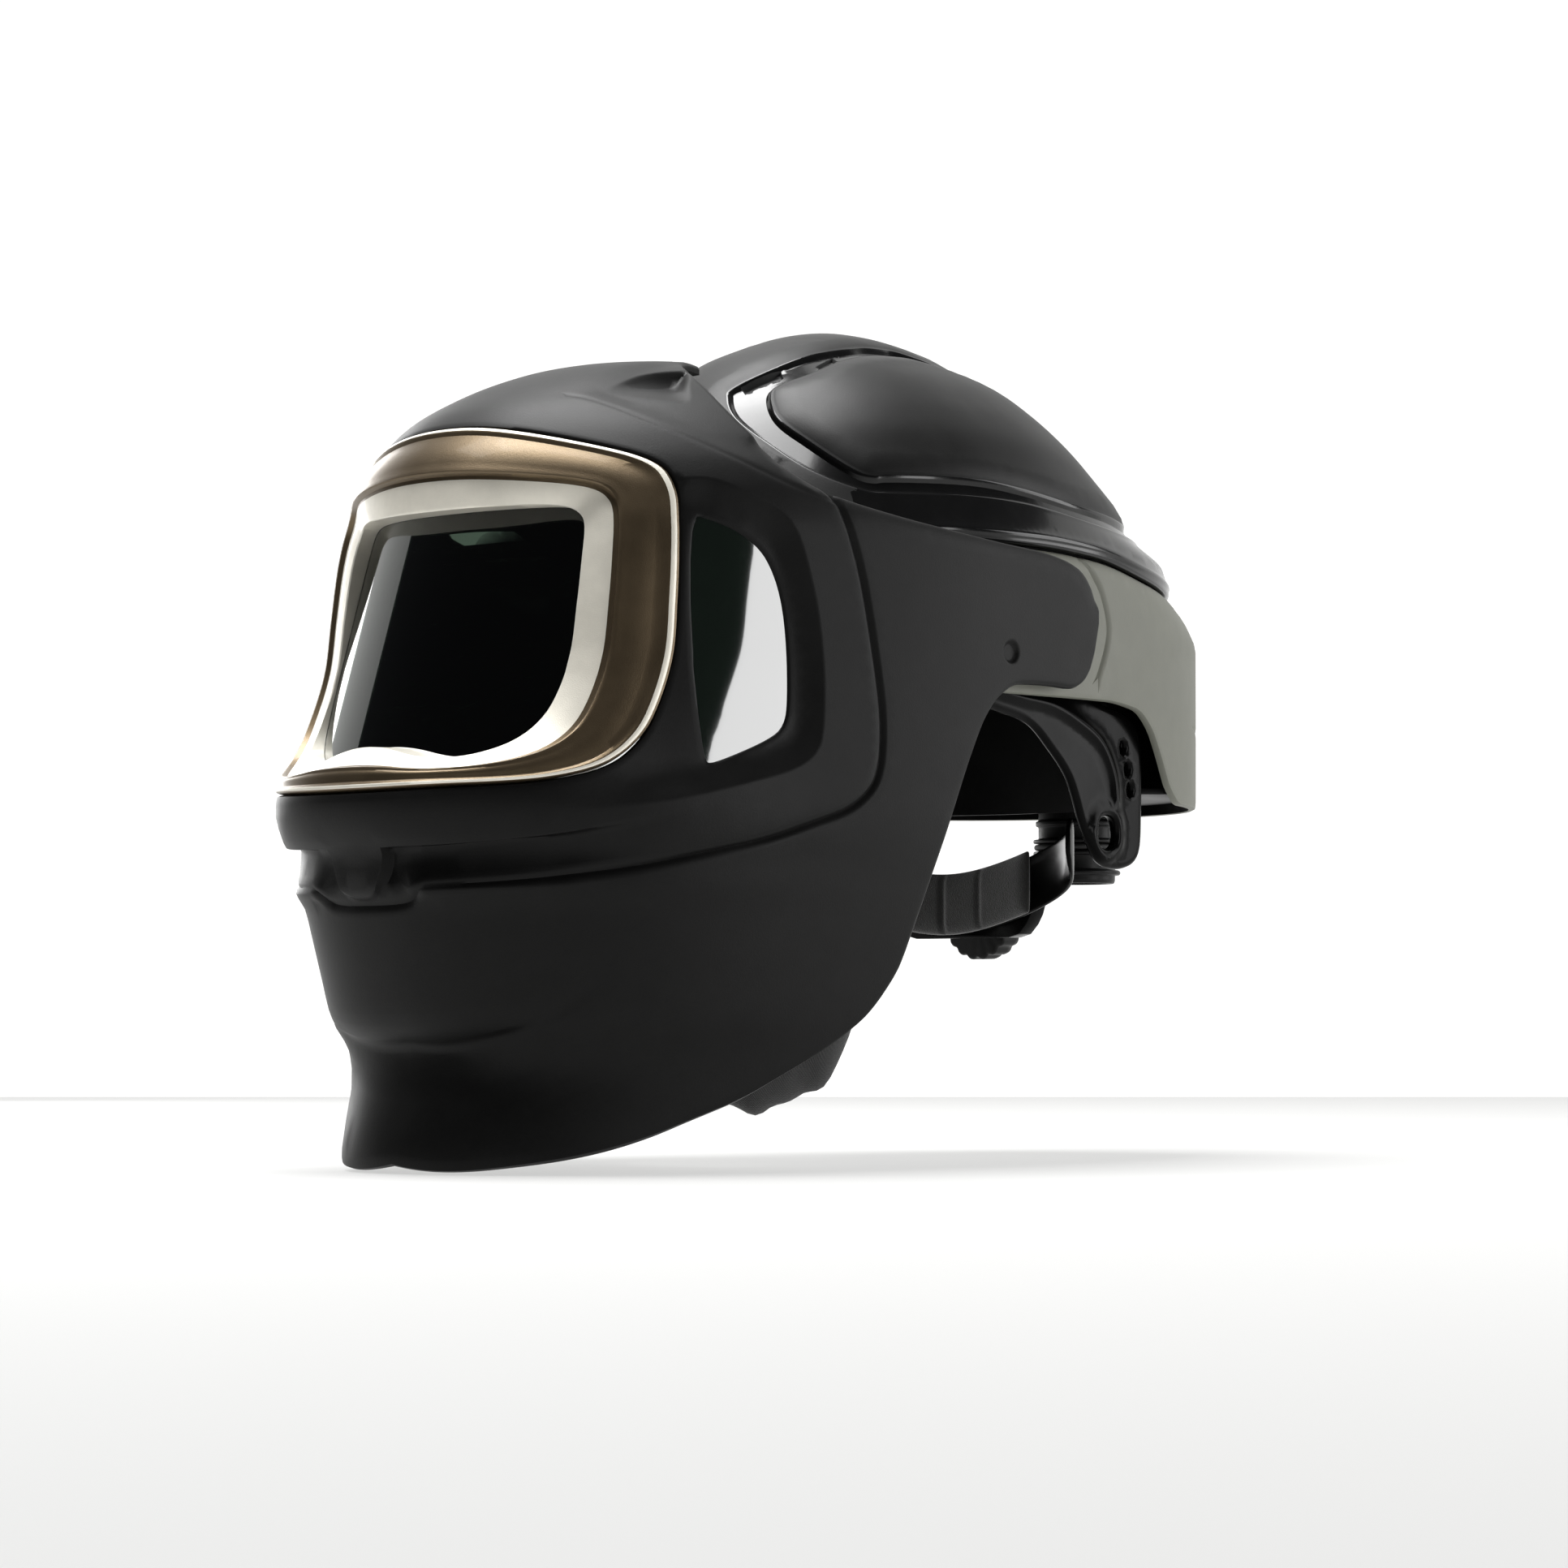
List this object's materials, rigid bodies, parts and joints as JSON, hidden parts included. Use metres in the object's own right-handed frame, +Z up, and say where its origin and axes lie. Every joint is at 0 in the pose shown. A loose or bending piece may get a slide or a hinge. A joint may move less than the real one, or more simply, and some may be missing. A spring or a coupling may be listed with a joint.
{
  "type": "powered air respirator",
  "caption": "Welding respirator headtop: hard hat with rear air duct and hose spigot, clear inner visor with face seal, and outer flip-up shield with dark filter.",
  "frame": {"origin": "middle of the wearer's head, on the centre plane, midway between the shield arms at the level of the small plugs in them", "axes": "+Z up, front of the helmet towards -Y, wearer's left towards +X"},
  "size_m": [0.226, 0.4223, 0.3154],
  "materials": {
    "shield_black": "fine matte texture",
    "front_metallic": "satin bronze metallic",
    "plate_clear": "polished",
    "filter_dark": "polished dark green",
    "window_dark": "polished dark",
    "cassette_black": "satin",
    "button_grey": "satin",
    "hat_black": "gloss with matte panels",
    "cover_grey": "satin",
    "inner_black": "satin",
    "arm_gloss": "high gloss",
    "strap_black": "woven webbing",
    "pad_fabric": "brushed knit over foam",
    "seal_fabric": "coated woven fabric",
    "rubber_black": "matte",
    "pin_steel": "satin"
  },
  "bodies": {
    "helmet": {"hat_shell": "hat_black", "rear_air_cover": "cover_grey", "duct_inner_wall": "inner_black", "duct_floor": "inner_black", "hose_spigot": "inner_black", "spigot_seal": "rubber_black", "hinge_pin_left": "pin_steel", "hinge_pin_right": "pin_steel", "hinge_nut_left": "pin_steel", "hinge_nut_right": "pin_steel", "suspension_arm_left": "arm_gloss", "suspension_arm_right": "arm_gloss", "headband": "inner_black", "sweatband": "pad_fabric", "crown_strap_side": "strap_black", "crown_strap_long": "strap_black", "nape_band": "arm_gloss", "nape_pad": "pad_fabric", "ratchet_housing": "arm_gloss", "air_deflector": "inner_black"},
    "visor": {"visor_frame": "inner_black", "visor_lens": "plate_clear", "face_seal": "seal_fabric", "friction_washer_left": "rubber_black", "friction_washer_right": "rubber_black"},
    "shield": {"shield_shell": "shield_black", "front_frame": "front_metallic", "outer_plate": "plate_clear", "filter_cassette": "cassette_black", "filter_glass": "filter_dark", "inner_plate": "plate_clear", "side_window_left": "window_dark", "side_window_right": "window_dark"},
    "knob": {"ratchet_knob": "inner_black", "ratchet_pinion": "inner_black"},
    "shade_button": {"button_shade": "button_grey"},
    "sensitivity_button": {"button_sensitivity": "button_grey"},
    "delay_button": {"button_delay": "button_grey"}
  },
  "joints": [
    {"name": "visor_hinge", "type": "hinge", "parent": "helmet", "child": "visor", "pos_m": [0, 0.028, 0.01], "axis": [-1, 0, 0], "range_deg": [0, 30]},
    {"name": "shield_hinge", "type": "hinge", "parent": "visor", "child": "shield", "pos_m": [0, 0.028, 0.01], "axis": [-1, 0, 0], "range_deg": [0, 50]},
    {"name": "ratchet_turn", "type": "hinge", "parent": "helmet", "child": "knob", "pos_m": [0, 0.107, -0.092], "axis": [0, 1, 0], "continuous": true},
    {"name": "shade_press", "type": "slide", "parent": "shield", "child": "shade_button", "axis": [0, -0.9537, 0.3007], "range_m": [0, 0.001], "stiffness_N_per_m": 400},
    {"name": "sensitivity_press", "type": "slide", "parent": "shield", "child": "sensitivity_button", "axis": [0, -0.9537, 0.3007], "range_m": [0, 0.001], "stiffness_N_per_m": 400},
    {"name": "delay_press", "type": "slide", "parent": "shield", "child": "delay_button", "axis": [0, -0.9537, 0.3007], "range_m": [0, 0.001], "stiffness_N_per_m": 400}
  ]
}
